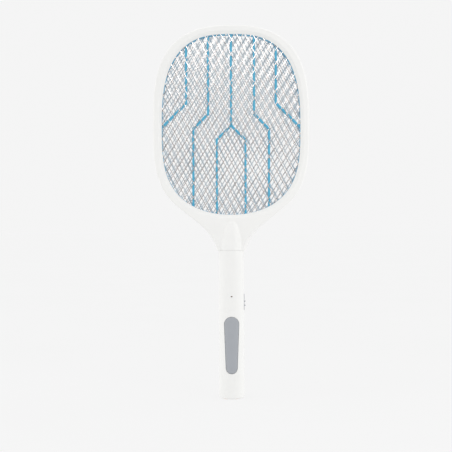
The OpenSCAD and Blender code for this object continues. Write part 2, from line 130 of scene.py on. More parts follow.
def opening_half():
    """Right half of the opening's outline, from the top to the bottom."""
    up = oval(OPENING_HALF_W, OPENING_UP, fine_angles(90, 0))
    low = oval(OPENING_HALF_W, OPENING_LOW, fine_angles(0, -90)[1:])
    return np.concatenate([up[0], low[0]]), np.concatenate([up[1], low[1]])


def bezier(corners, count):
    """Points and outward normals of a cubic curve."""
    s = np.linspace(0, 1, count)[:, None]
    p = corners
    t = 1 - s
    points = t ** 3 * p[0] + 3 * s * t ** 2 * p[1] + 3 * s * s * t * p[2] + s ** 3 * p[3]
    way = t ** 2 * (p[1] - p[0]) + 2 * s * t * (p[2] - p[1]) + s * s * (p[3] - p[2])
    way /= np.linalg.norm(way, axis=1)[:, None]
    return points, np.stack([-way[:, 1], way[:, 0]], 1)


def outer_half():
    """Right half of the head's outline: the oval, then the neck down to the joint line."""
    up = oval(HEAD_HALF_W, OUTER_UP, fine_angles(90, 0))
    low = oval(HEAD_HALF_W, OUTER_LOW, fine_angles(0, NECK_START)[1:])
    neck_points, neck_normals = bezier(NECK, 800)
    kept = neck_points[:, 1] > JOINT_Z
    neck_points, neck_normals = neck_points[kept], neck_normals[kept]
    return (up[0], up[1]), (low[0], low[1]), (neck_points, neck_normals)


def loop_of(half):
    """A closed outline and its normals from its right half, which starts and ends on the middle line."""
    points, normals = half
    back = points[-2:0:-1] * [-1, 1]
    back_normals = normals[-2:0:-1] * [-1, 1]
    return np.concatenate([points, back]), np.concatenate([normals, back_normals])


OPENING = opening_half()
OPENING_LOOP = loop_of(evenly(*OPENING, 300))


# ---------------------------------------------------------------- mesh helpers

def mesh_piece(name, verts, faces, material, smooth_below=35):
    """A mesh object from points in millimetres, with edges sharper than smooth_below degrees kept sharp."""
    mesh = bpy.data.meshes.new(name)
    mesh.from_pydata([tuple(float(c) * MM for c in v) for v in verts], [], [tuple(f) for f in faces])
    mesh.validate()
    made = bmesh.new()
    made.from_mesh(mesh)
    bmesh.ops.remove_doubles(made, verts=made.verts, dist=1e-7)
    bmesh.ops.dissolve_degenerate(made, edges=made.edges, dist=1e-8)
    bmesh.ops.recalc_face_normals(made, faces=made.faces)
    made.to_mesh(mesh)
    made.free()
    piece = bpy.data.objects.new(name, mesh)
    bpy.context.scene.collection.objects.link(piece)
    mesh.materials.append(material)
    smooth(piece, smooth_below)
    return piece


def smooth(piece, below):
    """Smooth shading, with edges sharper than below degrees kept sharp."""
    mesh = piece.data
    mesh.polygons.foreach_set("use_smooth", [True] * len(mesh.polygons))
    mesh.set_sharp_from_angle(angle=radians(below))


def apply_modifiers(piece):
    """Keeps the result of the piece's modifiers as its mesh."""
    graph = bpy.context.evaluated_depsgraph_get()
    done = bpy.data.meshes.new_from_object(piece.evaluated_get(graph))
    piece.modifiers.clear()
    piece.data = done


def cut(piece, cutter, below=35):
    """Takes the cutter's solid out of the piece, for good."""
    step = piece.modifiers.new("cut", "BOOLEAN")
    step.operation = "DIFFERENCE"
    step.solver = "EXACT"
    step.object = cutter
    apply_modifiers(piece)
    bpy.data.objects.remove(cutter)
    smooth(piece, below)


def soften(piece, width, segments=2, angle=30, below=35):
    """Rounds the piece's edges by width millimetres, for good."""
    step = piece.modifiers.new("soften", "BEVEL")
    step.width = width * MM
    step.segments = segments
    step.limit_method = "ANGLE"
    step.angle_limit = radians(angle)
    step.harden_normals = False
    apply_modifiers(piece)
    smooth(piece, below)


def settle(piece, body, slot, *nodes):
    """Gives the piece its body, and hides the nodes that it stands in for. The slot is not used."""
    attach(piece, body)
    if nodes:
        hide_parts(*nodes)
    return piece


def grid_faces(rows, columns, wrap_rows=False, wrap_columns=False):
    """Quads between neighbouring points of a grid stored row by row."""
    faces = []
    for i in range(rows if wrap_rows else rows - 1):
        for j in range(columns if wrap_columns else columns - 1):
            a = i * columns + j
            b = i * columns + (j + 1) % columns
            c = ((i + 1) % rows) * columns + (j + 1) % columns
            d = ((i + 1) % rows) * columns + j
            faces.append((a, b, c, d))
    return faces


class Parts:
    """Collects several closed shapes into one mesh."""

    def __init__(self):
        self.verts = []
        self.faces = []

    def add(self, verts, faces):
        start = len(self.verts)
        self.verts.extend(verts)
        self.faces.extend([tuple(start + i for i in f) for f in faces])


def smoothstep(low, high, value):
    """Soft step from 0 at low to 1 at high."""
    t = np.clip((value - low) / (high - low), 0, 1)
    return t * t * (3 - 2 * t)


# ---------------------------------------------------------------- materials

def node_material(name, base, roughness, metallic=0.0, spread=0.03, scale=60.0, bump=0.05,
                  bump_scale=400.0, rough_spread=0.06, coat=0.0, specular=0.5):
    """Principled material whose colour, roughness and surface vary with noise in object space."""
    material = bpy.data.materials.new(name)
    material.use_nodes = True
    nodes, links = material.node_tree.nodes, material.node_tree.links
    shader = nodes["Principled BSDF"]
    shader.inputs["Metallic"].default_value = metallic
    shader.inputs["Coat Weight"].default_value = coat
    shader.inputs["Specular IOR Level"].default_value = specular
    place = nodes.new("ShaderNodeTexCoord")
    broad = nodes.new("ShaderNodeTexNoise")
    broad.inputs["Scale"].default_value = scale
    broad.inputs["Detail"].default_value = 4
    links.new(place.outputs["Object"], broad.inputs["Vector"])
    tint = nodes.new("ShaderNodeValToRGB")
    tint.color_ramp.elements[0].position = 0.3
    tint.color_ramp.elements[1].position = 0.7
    tint.color_ramp.elements[0].color = (*[c * (1 - spread) for c in base], 1)
    tint.color_ramp.elements[1].color = (*[min(1, c * (1 + spread)) for c in base], 1)
    links.new(broad.outputs["Fac"], tint.inputs["Fac"])
    links.new(tint.outputs["Color"], shader.inputs["Base Color"])
    sheen = nodes.new("ShaderNodeMapRange")
    sheen.inputs["To Min"].default_value = max(0.03, roughness - rough_spread)
    sheen.inputs["To Max"].default_value = min(1, roughness + rough_spread)
    links.new(broad.outputs["Fac"], sheen.inputs["Value"])
    links.new(sheen.outputs["Result"], shader.inputs["Roughness"])
    fine = nodes.new("ShaderNodeTexNoise")
    fine.inputs["Scale"].default_value = bump_scale
    fine.inputs["Detail"].default_value = 3
    links.new(place.outputs["Object"], fine.inputs["Vector"])
    relief = nodes.new("ShaderNodeBump")
    relief.inputs["Strength"].default_value = bump
    relief.inputs["Distance"].default_value = 0.0002
    links.new(fine.outputs["Fac"], relief.inputs["Height"])
    links.new(relief.outputs["Normal"], shader.inputs["Normal"])
    return material


white_plastic = node_material("white_plastic", (0.93, 0.93, 0.915), 0.42, spread=0.008, bump=0.04)
blue_plastic = node_material("blue_plastic", (0.085, 0.45, 0.68), 0.38, spread=0.04, bump=0.04)
front_metal = node_material("front_metal", (0.45, 0.415, 0.40), 0.14, metallic=1.0, spread=0.10,
                            scale=180, bump=0.05, bump_scale=1500, rough_spread=0.03)
rear_metal = node_material("rear_metal", (0.73, 0.75, 0.775), 0.40, metallic=1.0, spread=0.10, scale=180,
                           bump=0.12, bump_scale=1500)
key_plastic = node_material("key_plastic", (0.40, 0.42, 0.452), 0.55, spread=0.02, bump=0.12,
                            bump_scale=2500)
screw_metal = node_material("screw_metal", (0.55, 0.55, 0.56), 0.35, metallic=1.0, spread=0.08, scale=300)
contact_metal = node_material("contact_metal", (0.72, 0.36, 0.16), 0.3, metallic=1.0, spread=0.08, scale=200)
end_plastic = node_material("end_plastic", (0.90, 0.86, 0.80), 0.5, spread=0.02)
lens_resin = node_material("lens_resin", (0.13, 0.055, 0.028), 0.25, spread=0.05, coat=0.2)
lamp_resin = node_material("lamp_resin", (0.45, 0.12, 0.05), 0.2, spread=0.05)
dark_plastic = node_material("dark_plastic", (0.025, 0.025, 0.028), 0.5, spread=0.1)
board_green = node_material("board_green", (0.02, 0.16, 0.06), 0.35, spread=0.35, scale=350, bump=0.2)
tape_yellow = node_material("tape_yellow", (0.75, 0.45, 0.06), 0.35, spread=0.05)
ferrite_grey = node_material("ferrite_grey", (0.06, 0.06, 0.065), 0.7, spread=0.15, bump=0.3)
capacitor_red = node_material("capacitor_red", (0.42, 0.05, 0.03), 0.3, spread=0.06, coat=0.3)
resistor_tan = node_material("resistor_tan", (0.55, 0.38, 0.20), 0.4, spread=0.1, scale=900)
sleeve_blue = node_material("sleeve_blue", (0.10, 0.30, 0.55), 0.3, spread=0.04, coat=0.3)
foam_black = node_material("foam_black", (0.03, 0.03, 0.032), 0.95, spread=0.3, scale=900, bump=0.8)
red_rubber = node_material("red_rubber", (0.50, 0.03, 0.02), 0.45, spread=0.05)
black_rubber = node_material("black_rubber", (0.02, 0.02, 0.022), 0.45, spread=0.1)
white_rubber = node_material("white_rubber", (0.78, 0.78, 0.75), 0.45, spread=0.03)
plunger_tan = node_material("plunger_tan", (0.60, 0.42, 0.18), 0.5, spread=0.04)

CAD_MATERIALS = {
    "live_terminal": contact_metal,
    "guard_terminals": contact_metal,
    "charge_contacts": contact_metal,
    "live_lead": red_rubber,
    "guard_leads": white_rubber,
    "charge_leads": black_rubber,
    "battery_leads": black_rubber,
    "end_cap": end_plastic,
    "battery_cell": sleeve_blue,
    "battery_tabs": screw_metal,
    "battery_pad": foam_black,
    "main_board": board_green,
    "board_screws": screw_metal,
    "transformer_core": ferrite_grey,
    "transformer_winding": tape_yellow,
    "storage_capacitors": capacitor_red,
    "rectifier_diodes": dark_plastic,
    "resistors": resistor_tan,
    "control_chip": dark_plastic,
    "drive_transistor": dark_plastic,
    "indicator_lamp": lamp_resin,
    "indicator_lens": lens_resin,
    "key_switch_body": dark_plastic,
    "key_switch_plunger": plunger_tan,
    "key_hinge_pin": screw_metal,
    "power_switch_body": screw_metal,
    "power_switch_lever": dark_plastic,
}
for node, material in CAD_MATERIALS.items():
    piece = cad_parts[node]
    piece.data.materials.clear()
    piece.data.materials.append(material)


# ---------------------------------------------------------------- head covers

# The tongue carries the handle's section on over the neck, and sinks into it towards its top
TONGUE_TOP = 246.5
TONGUE_BASE = 200.0
TONGUE_PAST_TOP = 9
TONGUE_END = TONGUE_TOP + 8
TONGUE_POWER = 2.4
TONGUE_FULLNESS = 1.9
# The cover's outer edge is rounder near the joint, where it meets the handle
EDGE_ROUND = 2.6
NECK_ROUND_X = 3.6
NECK_ROUND_Y = 7.35
NECK_ROUND_TOP = 243
# Crease where the tongue rises out of the cover, and the small chamfer at the joint line
CREASE = 0.5
JOINT_CHAMFER = 0.35
JOINT_CHAMFER_H = 0.45
# Depth of the lip that holds the spacer, and the cover's wall
LIP_Y = 5.62
WALL = 1.8


def handle_depth(x, radius):
    """How far the handle's section, or one like it of another radius, stands out at x."""
    reach = np.maximum(np.abs(x) - FLAT, 0)
    return np.sqrt(np.maximum(radius ** 2 - reach ** 2, 0))


def tongue_radius(z):
    """Radius of the tongue's round sides at height z."""
    height = TONGUE_TOP - TONGUE_BASE + TONGUE_PAST_TOP
    share = np.clip((z - TONGUE_BASE) / height, 0, 1)
    return HANDLE_R * (1 - share ** TONGUE_POWER) ** (1 / TONGUE_FULLNESS)


def neck_half_width(z):
    """Half width of the neck at height z."""
    points, _ = bezier(NECK, 200)
    return np.interp(-z, -points[:, 1], points[:, 0])


# Cross-section of the sloping rim: how far out from the opening, and depth
BEVEL = [(0.0, 5.9), (0.05, 6.15), (0.3, 6.42), (0.8, 6.85), (2.0, 7.87), (3.4, 9.06), (4.1, 9.6),
         (4.5, 9.83), (4.9, 9.95), (5.5, 10.0)]


def front_height(x, z, side):
    """Depth of the cover's outer face at points x, z that lie side millimetres in from the outline."""
    near_joint = 1 - smoothstep(JOINT_Z, NECK_ROUND_TOP, z)
    round_x = EDGE_ROUND + NECK_ROUND_X * near_joint
    round_y = EDGE_ROUND + NECK_ROUND_Y * near_joint
    share = np.clip(side / round_x, 0, 1)
    edge = HALF_D - round_y + round_y * np.sqrt(1 - (1 - share) ** 2)
    tongue = handle_depth(x, tongue_radius(z)) * (z < TONGUE_END)
    gap = np.clip(np.abs(edge - tongue) / CREASE, 0, 1)
    height = np.maximum(edge, tongue) + CREASE * 0.25 * (1 - gap) ** 2
    return height - JOINT_CHAMFER * np.clip(1 - (z - JOINT_Z) / JOINT_CHAMFER_H, 0, 1) ** 2


# Stations along the outline's half: the ring, the neck's side, and the joint line
RING_COUNT = 230
NECK_COUNT = 110
BASE_COUNT = 30
# The joint line's stations answer to the opening's bottom as far out as this
BASE_REACH = 11


def half_stations():
    """Matching stations along the opening and the outside, from the top to the middle of the joint line."""
    (up, up_n), (low, low_n), (neck, neck_n) = outer_half()
    ring = evenly(np.concatenate([up, low]), np.concatenate([up_n, low_n]), RING_COUNT)
    side = evenly(neck, neck_n, NECK_COUNT)
    corner_x = side[0][-1][0]
    base_x = np.linspace(corner_x, 0, BASE_COUNT)[1:]
    base = np.stack([base_x, np.full_like(base_x, JOINT_Z)], 1)
    outer = np.concatenate([ring[0], side[0][1:], base])
    outer_n = np.concatenate([ring[1], side[1][1:], np.tile([0.0, -1.0], (len(base), 1))])
    # The opening's stations: ring, neck and joint line each take their own stretch of it
    points, normals = OPENING
    step = np.linalg.norm(np.diff(points, axis=0), axis=1)
    along = np.concatenate([[0], np.cumsum(step)])
    nearest = np.argmin(np.linalg.norm(points - ring[0][-1], axis=1))
    in_upper_half = points[:, 1] > CENTRE_Z
    last = along[np.argmin(np.abs(points[:, 0] - BASE_REACH) + 1000 * in_upper_half)]
    ring_places = np.array([along[np.argmin(np.linalg.norm(points - p, axis=1))] for p in ring[0]])
    ring_places = np.maximum.accumulate(ring_places)
    want = np.concatenate([ring_places, np.linspace(along[nearest], last, NECK_COUNT)[1:],
                           np.linspace(last, along[-1], BASE_COUNT)[1:]])
    inner = np.stack([np.interp(want, along, points[:, k]) for k in range(2)], 1)
    inner_n = np.stack([np.interp(want, along, normals[:, k]) for k in range(2)], 1)
    inner_n /= np.linalg.norm(inner_n, axis=1)[:, None]
    return inner, inner_n, outer, outer_n, RING_COUNT + NECK_COUNT - 1


# Insets of the rows that round the cover's outer edge, and stations of its flat face and inner face
EDGE_INSETS = (3.2, 2.6, 2.1, 1.7, 1.3, 1.0, 0.72, 0.48, 0.3, 0.16, 0.07, 0.02, 0.0)
FACE_BANDS = 42
INSIDE_BANDS = 15
# How far out from the opening the sloping rim ends, and the recess for the spacer's ring
BEVEL_W = 5.5
RECESS_W = 3.6
# Height under which insets at the sides lift off the joint line, and where that fades out
LIFT_TOP = 230
LIFT_FADE = 6


def head_cover_rows():
    """Rows of points round the cover's cross-section, each along the whole outline."""
    inner, inner_n, outer, outer_n, corner = half_stations()
    count = len(inner)
    station = np.arange(count)
    lift = np.where(station < corner, np.clip(1 - (outer[:, 1] - JOINT_Z) / LIFT_FADE, 0, 1) ** 2, 1.0)
    lift = np.where(outer[:, 1] > LIFT_TOP, 0, lift)

    def from_opening(out):
        return inner + inner_n * out

    def from_outside(inset):
        moved = outer - outer_n * inset
        on_side = station < corner
        corner_x = outer[corner - 1, 0]
        moved[on_side, 1] = moved[on_side, 1] + lift[on_side] * inset
        moved[~on_side, 0] = outer[~on_side, 0] * (corner_x - inset) / corner_x
        return moved

    def side_distance(points, inset):
        along_neck = neck_half_width(points[:, 1]) - np.abs(points[:, 0])
        in_neck = points[:, 1] < 236
        known = inset if inset is not None else 50.0
        return np.where(in_neck, np.maximum(along_neck, 0), known)

    rows = []

    def add(points, depth):
        rows.append(np.stack([points[:, 0], -np.broadcast_to(depth, count), points[:, 1]], 1))

    for out, depth in BEVEL:
        add(from_opening(out), depth)
    start, end = from_opening(BEVEL_W), from_outside(EDGE_INSETS[0])
    for i in range(1, FACE_BANDS):
        points = start + (end - start) * i / FACE_BANDS
        add(points, front_height(points[:, 0], points[:, 1], side_distance(points, None)))
    for inset in EDGE_INSETS:
        points = from_outside(inset)
        side = side_distance(points, inset)
        side = np.where(station < corner, inset, side)
        add(points, front_height(points[:, 0], points[:, 1], side))
    edge = -rows[-1][:, 1]
    outside = from_outside(0.0)
    for share in (0.35, 0.7, 1.0):
        add(outside, edge + (SEAM + 0.15 - edge) * share)
    add(from_outside(0.12), SEAM)
    add(from_outside(WALL), SEAM)
    start, end = from_outside(WALL + 2.2), from_opening(BEVEL_W)
    top = front_height(*start.T, side_distance(start, 4.0)) - WALL
    add(from_outside(WALL), top - 1.0)
    add(from_outside(WALL + 1.0), top)
    for i in range(INSIDE_BANDS + 1):
        points = start + (end - start) * i / INSIDE_BANDS
        add(points, front_height(points[:, 0], points[:, 1], side_distance(points, None)) - WALL)
    add(from_opening(3.9), HALF_D - WALL)
    add(from_opening(RECESS_W), LIP_Y)
    add(from_opening(0.12), LIP_Y)
    add(from_opening(0.0), LIP_Y + 0.12)
    return np.array(rows)


def head_cover(name, front):
    """Closed solid of the front or rear cover, without its sleeve."""
    rows = head_cover_rows()
    left = rows[:, -2:0:-1] * [-1, 1, 1]
    whole = np.concatenate([rows, left], 1)
    if not front:
        whole = whole * [1, -1, 1]
    count, columns = whole.shape[:2]
    return mesh_piece(name, whole.reshape(-1, 3), grid_faces(count, columns, True, True), white_plastic)


def sleeve(parts, side, outer_r, inner_r, z0, z1, x_from=0.0):
    """Half a tube of the handle's section, front (side -1) or rear (side 1).

    With x_from, only the stretches further out than that are made.
    """
    if x_from:
        reach = np.degrees(np.arccos(min(1, (x_from - FLAT) / outer_r)))
        front_spans = ((-reach, 0.0), (180.0, 180.0 + reach))
        rear_spans = ((0.0, reach), (180.0 - reach, 180.0))
    else:
        front_spans = ((180.0, 360.0),)
        rear_spans = ((0.0, 180.0),)
    for span in front_spans if side < 0 else rear_spans:
        ring_block(parts, span, outer_r, inner_r, z0, z1, side)


def ring_block(parts, span, outer_r, inner_r, z0, z1, side):
    """Part of a tube of the handle's section, between two angles in degrees."""
    count = 64
    angles = np.radians(np.linspace(span[0], span[1], count))
    shift = FLAT * np.clip(np.cos(angles) * 30, -1, 1)
    rows = []
    for radius, z in ((outer_r, z0), (outer_r, z1), (inner_r, z1), (inner_r, z0)):
        y = radius * np.sin(angles)
        y = np.minimum(y, -SEAM) if side < 0 else np.maximum(y, SEAM)
        rows.append(np.stack([radius * np.cos(angles) + shift, y, np.full(count, z)], 1))
    verts = np.concatenate(rows)
    faces = grid_faces(4, count, True, False)
    faces.append((0, count, 2 * count, 3 * count))
    faces.append((count - 1, 2 * count - 1, 3 * count - 1, 4 * count - 1))
    parts.add(verts, faces)


def join(target, others):
    """Puts the other objects' meshes into the target's."""
    made = bmesh.new()
    made.from_mesh(target.data)
    for other in others:
        made.from_mesh(other.data)
        bpy.data.objects.remove(other)
    made.to_mesh(target.data)
    made.free()


TENON_R = HANDLE_R - 2.4
TENON_WALL = 1.8
TENON_LOW_Z = 178


def cover_sleeve(name, side):
    """The sleeve that reaches down into the handle, with the tabs that show at its sides."""
    parts = Parts()
    sleeve(parts, side, TENON_R, TENON_R - TENON_WALL, TENON_LOW_Z, JOINT_Z + 3)
    sleeve(parts, side, HANDLE_R - 0.05, TENON_R - 0.3, TAB_Z, JOINT_Z + 1.5, TAB_X)
    return mesh_piece(name, parts.verts, parts.faces, white_plastic)


def screw_spots():
    """Middle of each head screw, read off its solid in the frame."""
    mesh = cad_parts["head_screws"].data
    made = bmesh.new()
    made.from_mesh(mesh)
    bmesh.ops.remove_doubles(made, verts=made.verts, dist=1e-6)
    left = set(made.verts)
    spots = []
    while left:
        start = min(left, key=lambda v: v.index)
        island = {start}
        fresh = [start]
        while fresh:
            vert = fresh.pop()
            for edge in vert.link_edges:
                other = edge.other_vert(vert)
                if other not in island:
                    island.add(other)
                    fresh.append(other)
        left -= island
        xs = [v.co.x for v in island]
        zs = [v.co.z for v in island]
        spots.append(((min(xs) + max(xs)) / 2 / MM, (min(zs) + max(zs)) / 2 / MM))
    made.free()
    return sorted(spots)


def rods(spots, radius, y0, y1, count=40):
    """Closed cylinders along Y at the given spots."""
    parts = Parts()
    turn = np.linspace(0, 2 * pi, count, endpoint=False)
    for x, z in spots:
        rings = [np.stack([x + radius * np.cos(turn), np.full(count, y), z + radius * np.sin(turn)], 1)
                 for y in (y0, y1)]
        faces = grid_faces(2, count, False, True)
        faces.append(tuple(range(count)))
        faces.append(tuple(range(2 * count - 1, count - 1, -1)))
        parts.add(np.concatenate(rings), faces)
    return parts


WELL_R = 2.15
WELL_DEPTH = 2.4
ring_screw_spots = screw_spots()
front_cover = head_cover("front_cover", True)
join(front_cover, [cover_sleeve("front_sleeve", -1)])
smooth(front_cover, 35)
settle(front_cover, "racket", "white_plastic", "head_front_cover")

rear_cover = head_cover("rear_cover", False)
wells = rods(ring_screw_spots, WELL_R, HALF_D - WELL_DEPTH, HALF_D + 2)
cut(rear_cover, mesh_piece("wells", wells.verts, wells.faces, white_plastic))
join(rear_cover, [cover_sleeve("rear_sleeve", 1)])
smooth(rear_cover, 35)
settle(rear_cover, "racket", "white_plastic", "head_rear_cover")


# ---------------------------------------------------------------- screws

def turned_profile(profile, count=40):
    """Solid of revolution about the Y axis from (radius, y) pairs that start and end on the axis."""
    turn = np.linspace(0, 2 * pi, count, endpoint=False)
    rings = [np.stack([r * np.cos(turn), np.full(count, y), r * np.sin(turn)], 1) for r, y in profile]
    return np.concatenate(rings), grid_faces(len(profile), count, False, True)


def screws(name, spots, head_y, shank_end):
    """Pan-head screws with a cross recess, heads towards +Y."""
    shank_r, head_r = 0.98, 1.9
    under_head = head_y - 1.3
    profile = [(0.0, shank_end), (0.55, shank_end), (shank_r, shank_end + 1.2), (shank_r, under_head),
               (head_r, under_head), (head_r, head_y - 0.7), (1.75, head_y - 0.35), (1.3, head_y - 0.1),
               (0.6, head_y), (0.0, head_y)]
    verts, faces = turned_profile(profile)
    one = mesh_piece(name, verts, faces, screw_metal)
    for turn in (0, pi / 2):
        bar = Parts()
        size = Vector((1.15, 0.7, 0.22))
        corners = [Vector((sx * size.x, head_y - 0.15 + sy * size.y, sz * size.z))
                   for sx in (-1, 1) for sy in (-1, 1) for sz in (-1, 1)]
        corners = [Matrix.Rotation(turn, 3, "Y") @ c for c in corners]
        bar.add(corners, [(0, 1, 3, 2), (4, 6, 7, 5), (0, 4, 5, 1),
                          (2, 3, 7, 6), (0, 2, 6, 4), (1, 5, 7, 3)])
        cut(one, mesh_piece("bar", bar.verts, bar.faces, screw_metal))
    made = bmesh.new()
    for i, (x, z) in enumerate(spots):
        start = len(made.verts)
        made.from_mesh(one.data)
        made.verts.ensure_lookup_table()
        turn = Matrix.Rotation(0.7 * i, 4, "Y")
        for vert in made.verts[start:]:
            vert.co = turn @ vert.co + Vector((x, 0, z)) * MM
    made.to_mesh(one.data)
    made.free()
    smooth(one, 35)
    return one


RING_SCREW_SINK = 0.9
RING_SCREW_END = -6
head_screws = screws("ring_screws", ring_screw_spots, HALF_D - RING_SCREW_SINK, RING_SCREW_END)
settle(head_screws, "racket", "screw_steel", "head_screws")

HANDLE_SCREW_Z = (12, 120, 186)
GRIP_SCREW_SINK = 1.1
GRIP_SCREW_END = -12.5
handle_screw_spots = [(0, z) for z in HANDLE_SCREW_Z]
grip_screws = screws("grip_screws", handle_screw_spots, HANDLE_R - GRIP_SCREW_SINK, GRIP_SCREW_END)
settle(grip_screws, "racket", "screw_steel", "handle_screws")


# ---------------------------------------------------------------- spacers

def band_along(loop, normals, profile):
    """Solid ring whose section is the closed list of (out, y), swept along a closed outline."""
    rows = []
    for out, y in profile:
        moved = loop + normals * out
        rows.append(np.stack([moved[:, 0], np.full(len(loop), y), moved[:, 1]], 1))
    return np.concatenate(rows), grid_faces(len(profile), len(loop), True, True)


def edge_crossing(x0, z0, dx, dz, out):
    """Where a ray from (x0, z0) meets the opening moved outwards by out."""
    points, normals = loop_of(evenly(*OPENING, 400))
    edge = points + normals * out
    nxt = np.roll(edge, -1, 0)
    best = None
    for a, b in zip(edge, nxt):
        det = dx * (a[1] - b[1]) - dz * (a[0] - b[0])
        if abs(det) < 1e-9:
            continue
        t = ((a[0] - x0) * (a[1] - b[1]) - (a[1] - z0) * (a[0] - b[0])) / det
        s = (dx * (a[1] - z0) - dz * (a[0] - x0)) / det
        if -1e-6 <= s <= 1 + 1e-6 and t > 0 and (best is None or t < best):
            best = t
    return np.array([x0 + dx * best, z0 + dz * best])


RIB_W = 2.9
# How far the ribs run into the ring
RIB_OUT = 1.2
# Bends of the right-hand ribs, and the fork of the middle one
OUTER_BEND = (62.2, 408.6)
UPPER_BEND = (31.9, 393.5)
LOWER_BEND = (52.5, 372.9)
FORK_Z = 377.7
FORK_ARM = (19.9, 357.8)


def rib_paths():
    """Middle lines of the ribs, both sides."""

    def to_edge(point, dx, dz):
        return edge_crossing(*point, dx, dz, RIB_OUT)

    paths = []
    for side in (-1, 1):
        bend, first, second = [np.array([side * x, z]) for x, z in (OUTER_BEND, UPPER_BEND, LOWER_BEND)]
        paths.append([to_edge(bend, 0, 1), bend, to_edge(bend, side, -1)])
        paths.append([to_edge(first, 0, 1), first, second, to_edge(second, 0, -1)])
    fork = np.array([0.0, FORK_Z])
    left, right = [np.array([side * FORK_ARM[0], FORK_ARM[1]]) for side in (-1, 1)]
    paths.append([to_edge(fork, 0, 1), fork])
    paths.append([to_edge(left, 0, -1), left, fork, right, to_edge(right, 0, -1)])
    return paths


def rib_solid(parts, path, y0, y1):
    """A rib of even width along its middle line, with mitred bends and rounded edges."""
    path = [np.array(p, float) for p in path]
    ways = [(b - a) / np.linalg.norm(b - a) for a, b in zip(path, path[1:])]
    across = []
    for i in range(len(path)):
        before, after = ways[max(i - 1, 0)], ways[min(i, len(ways) - 1)]
        normal = np.array([-(before + after)[1], (before + after)[0]])
        normal /= np.linalg.norm(normal)
        across.append(normal / max(0.3, float(np.dot(normal, [-before[1], before[0]]))))
    soft = 0.4
    half = RIB_W / 2
    trim = soft * 0.3
    section = [(-half, y1 - soft), (-half + trim, y1 - trim), (-half + soft, y1),
               (half - soft, y1), (half - trim, y1 - trim), (half, y1 - soft),
               (half, y0 + soft), (half - trim, y0 + trim), (half - soft, y0),
               (-half + soft, y0), (-half + trim, y0 + trim), (-half, y0 + soft)]
    count = len(section)
    verts = [(p[0] + n[0] * u, y, p[1] + n[1] * u) for p, n in zip(path, across) for u, y in section]
    faces = grid_faces(len(path), count, False, True)
    faces.append(tuple(range(count)))
    faces.append(tuple(range(len(verts) - 1, len(verts) - count - 1, -1)))
    parts.add(verts, faces)


def spacer(name, y0, y1):
    """Ring round the opening, just inside its edge, with the ribs across it."""
    parts = Parts()
    loop, normals = loop_of(evenly(*OPENING, 260))
    soft = 0.35
    trim = soft * 0.3
    inner, outer = -0.3, 3.3
    profile = [(inner, y0 + soft), (inner + trim, y0 + trim), (inner + soft, y0), (outer, y0),
               (outer, y1), (inner + soft, y1), (inner + trim, y1 - trim), (inner, y1 - soft)]
    parts.add(*band_along(loop, normals, profile))
    for path in rib_paths():
        rib_solid(parts, path, y0, y1)
    return mesh_piece(name, parts.verts, parts.faces, blue_plastic)


front_spacer = spacer("front_ribs", spacer_low[1], spacer_high[1])
settle(front_spacer, "racket", "blue_plastic", "front_spacer")
rear_spacer = spacer("rear_ribs", -spacer_high[1], -spacer_low[1])
settle(rear_spacer, "racket", "blue_plastic", "rear_spacer")


# ---------------------------------------------------------------- wire meshes

DIAMOND_W = 11.45
DIAMOND_H = 20.0
WIRE_SIDES = 8
WIRE_STEP = 2.9
# How far the wires run past the opening's edge, and how far they sway in and out at the crossings
WIRE_OUT = 2.4
WEAVE = 0.08
# Half depth of a wire's flattened section, and half widths of the front and the other wires
WIRE_HALF_D = 0.38
FRONT_WIRE_R = 0.55
REAR_WIRE_R = 0.6
SHORTEST = 6
STRANDS = range(-18, 19)


def chord(origin, way, out):
    """Both ends of a straight strand inside the opening moved outwards, or None."""
    points, normals = OPENING_LOOP
    edge = points + normals * out
    nxt = np.roll(edge, -1, 0)
    e = edge - nxt
    det = way[0] * e[:, 1] - way[1] * e[:, 0]
    det = np.where(np.abs(det) < 1e-9, 1e-9, det)
    rel = edge - origin
    t = (rel[:, 0] * e[:, 1] - rel[:, 1] * e[:, 0]) / det
    s = (way[0] * rel[:, 1] - way[1] * rel[:, 0]) / det
    hits = t[(s >= 0) & (s <= 1)]
    if len(hits) < 2 or hits.max() - hits.min() < SHORTEST:
        return None
    return hits.min(), hits.max()


def wire_mesh(name, y, turn, offset, radius, material):
    """Two sets of parallel wires that pass over and under each other in a diamond lattice."""
    parts = Parts()
    lean = atan2(DIAMOND_H, DIAMOND_W)
    spacing = DIAMOND_W * sin(lean)
    pitch = DIAMOND_W / (2 * cos(lean))
    around = np.linspace(0, 2 * pi, WIRE_SIDES, endpoint=False)
    node = np.array([offset[0], CENTRE_Z + offset[1]])
    for sign in (1, -1):
        angle = sign * lean + radians(turn)
        way = np.array([cos(angle), sin(angle)])
        across = np.array([-sin(angle), cos(angle)])
        other = np.array([cos(angle - 2 * sign * lean), sin(angle - 2 * sign * lean)])
        slip = pitch * float(np.dot(other, way)) * np.sign(np.dot(other, across))
        for k in STRANDS:
            origin = node + across * k * spacing
            ends = chord(origin, way, WIRE_OUT)
            if ends is None:
                continue
            stops = np.linspace(ends[0], ends[1], max(3, int((ends[1] - ends[0]) / WIRE_STEP)))
            wave = sign * WEAVE * np.cos(pi * ((stops - k * slip) / pitch + k))
            middle = origin + stops[:, None] * way
            rows = []
            for (x, z), lift in zip(middle, wave):
                ring = np.stack([x + across[0] * radius * np.cos(around),
                                 y + lift + WIRE_HALF_D * np.sin(around),
                                 z + across[1] * radius * np.cos(around)], 1)
                rows.append(ring)
            total = WIRE_SIDES * len(rows)
            faces = grid_faces(len(rows), WIRE_SIDES, False, True)
            faces.append(tuple(range(WIRE_SIDES)))
            faces.append(tuple(range(total - 1, total - WIRE_SIDES - 1, -1)))
            parts.add(np.concatenate(rows), faces)
    return mesh_piece(name, parts.verts, parts.faces, material, 60)


front_y = (sheet_low[1] + sheet_high[1]) / 2
